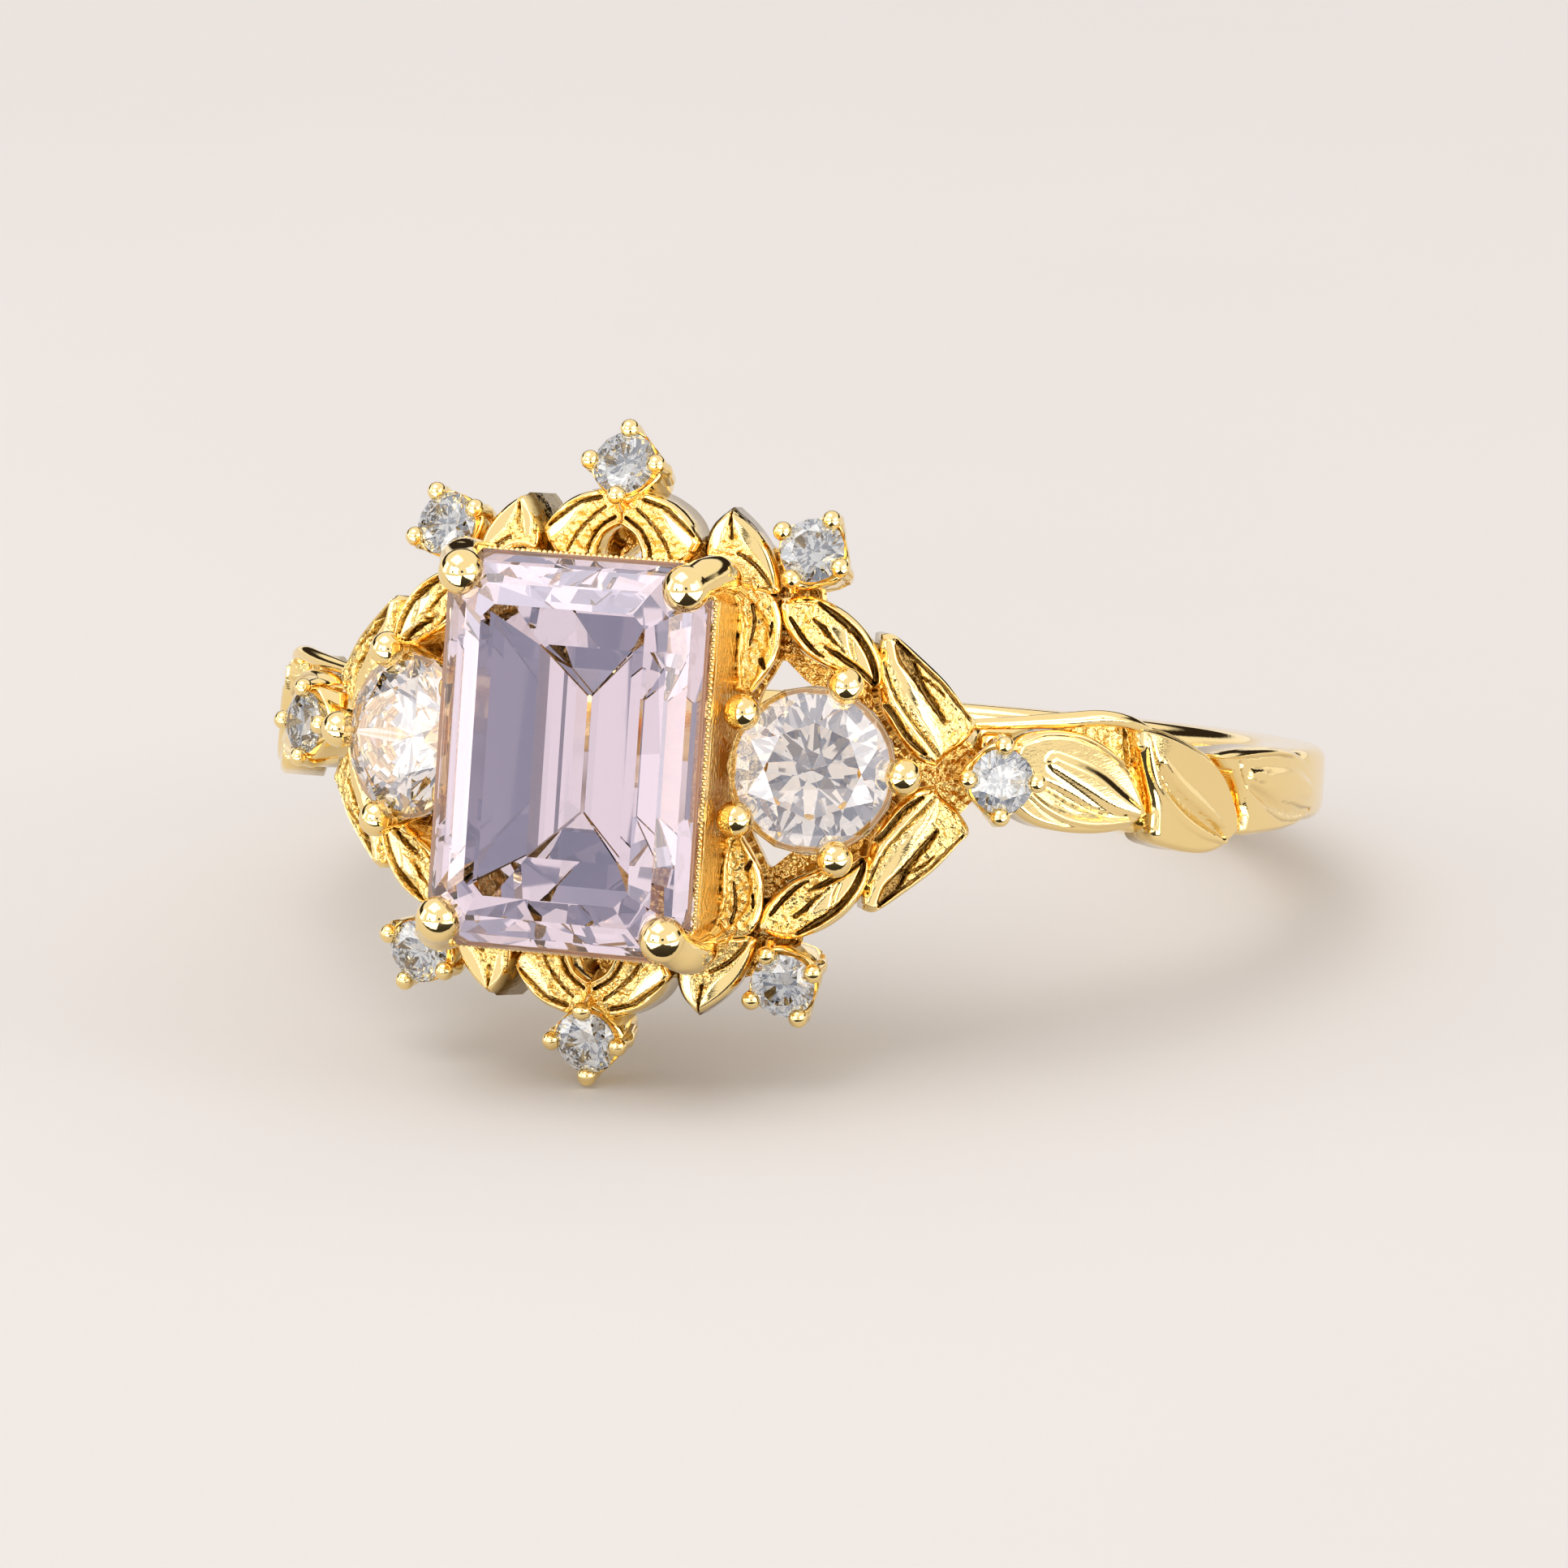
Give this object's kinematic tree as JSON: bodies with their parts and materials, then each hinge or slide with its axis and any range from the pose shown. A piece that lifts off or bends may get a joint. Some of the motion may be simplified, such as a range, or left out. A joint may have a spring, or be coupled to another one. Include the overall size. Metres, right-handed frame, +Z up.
{
  "type": "engagement ring",
  "caption": "Gold ring with an emerald-cut centre stone, round side stones and a leaf halo set with small accents, lying on its side.",
  "frame": {"origin": "on the surface that the ring lies on, under the middle of its outline", "axes": "+Z up from the surface, -Y the way the head faces, +X to the wearer's side; the finger axis leans back 15.2 degrees from +Z towards +Y"},
  "size_m": [0.0198, 0.0222, 0.0115],
  "materials": {
    "polished_gold": "polished 14 carat yellow gold",
    "textured_gold": "14 carat yellow gold with polished rims and stippled recesses",
    "lilac_stone": "pale lilac-pink step-cut gem, polished",
    "blush_stone": "near-colourless brilliant-cut gem, polished",
    "grey_stone": "colourless brilliant-cut gem with a cool grey cast, polished"
  },
  "bodies": {
    "root": {"accent_cup_east": "polished_gold", "accent_cup_north": "polished_gold", "accent_cup_north_east": "polished_gold", "accent_cup_north_west": "polished_gold", "accent_cup_south": "polished_gold", "accent_cup_south_east": "polished_gold", "accent_cup_south_west": "polished_gold", "accent_cup_west": "polished_gold", "accent_stone_east": "grey_stone", "accent_stone_north": "grey_stone", "accent_stone_north_east": "grey_stone", "accent_stone_north_west": "grey_stone", "accent_stone_south": "grey_stone", "accent_stone_south_east": "grey_stone", "accent_stone_south_west": "grey_stone", "accent_stone_west": "grey_stone", "arm_leaf_lower_left": "textured_gold", "arm_leaf_lower_right": "textured_gold", "arm_leaf_upper_left": "textured_gold", "arm_leaf_upper_right": "textured_gold", "centre_basket": "polished_gold", "centre_claw_lower_left": "polished_gold", "centre_claw_lower_right": "polished_gold", "centre_claw_upper_left": "polished_gold", "centre_claw_upper_right": "polished_gold", "centre_stone": "lilac_stone", "gallery": "polished_gold", "inner_leaf_lower_left": "textured_gold", "inner_leaf_lower_right": "textured_gold", "inner_leaf_upper_left": "textured_gold", "inner_leaf_upper_right": "textured_gold", "point_leaf_lower_left": "textured_gold", "point_leaf_lower_right": "textured_gold", "point_leaf_upper_left": "textured_gold", "point_leaf_upper_right": "textured_gold", "shank": "polished_gold", "shank_leaf_left_1": "textured_gold", "shank_leaf_left_2": "textured_gold", "shank_leaf_left_3": "textured_gold", "shank_leaf_right_1": "textured_gold", "shank_leaf_right_2": "textured_gold", "shank_leaf_right_3": "textured_gold", "shoulder_leaf_lower_left": "textured_gold", "shoulder_leaf_lower_right": "textured_gold", "shoulder_leaf_upper_left": "textured_gold", "shoulder_leaf_upper_right": "textured_gold", "side_collet_left": "polished_gold", "side_collet_right": "polished_gold", "side_stone_left": "blush_stone", "side_stone_right": "blush_stone", "v_leaf_lower_left": "textured_gold", "v_leaf_lower_right": "textured_gold", "v_leaf_upper_left": "textured_gold", "v_leaf_upper_right": "textured_gold"}
  },
  "joints": []
}
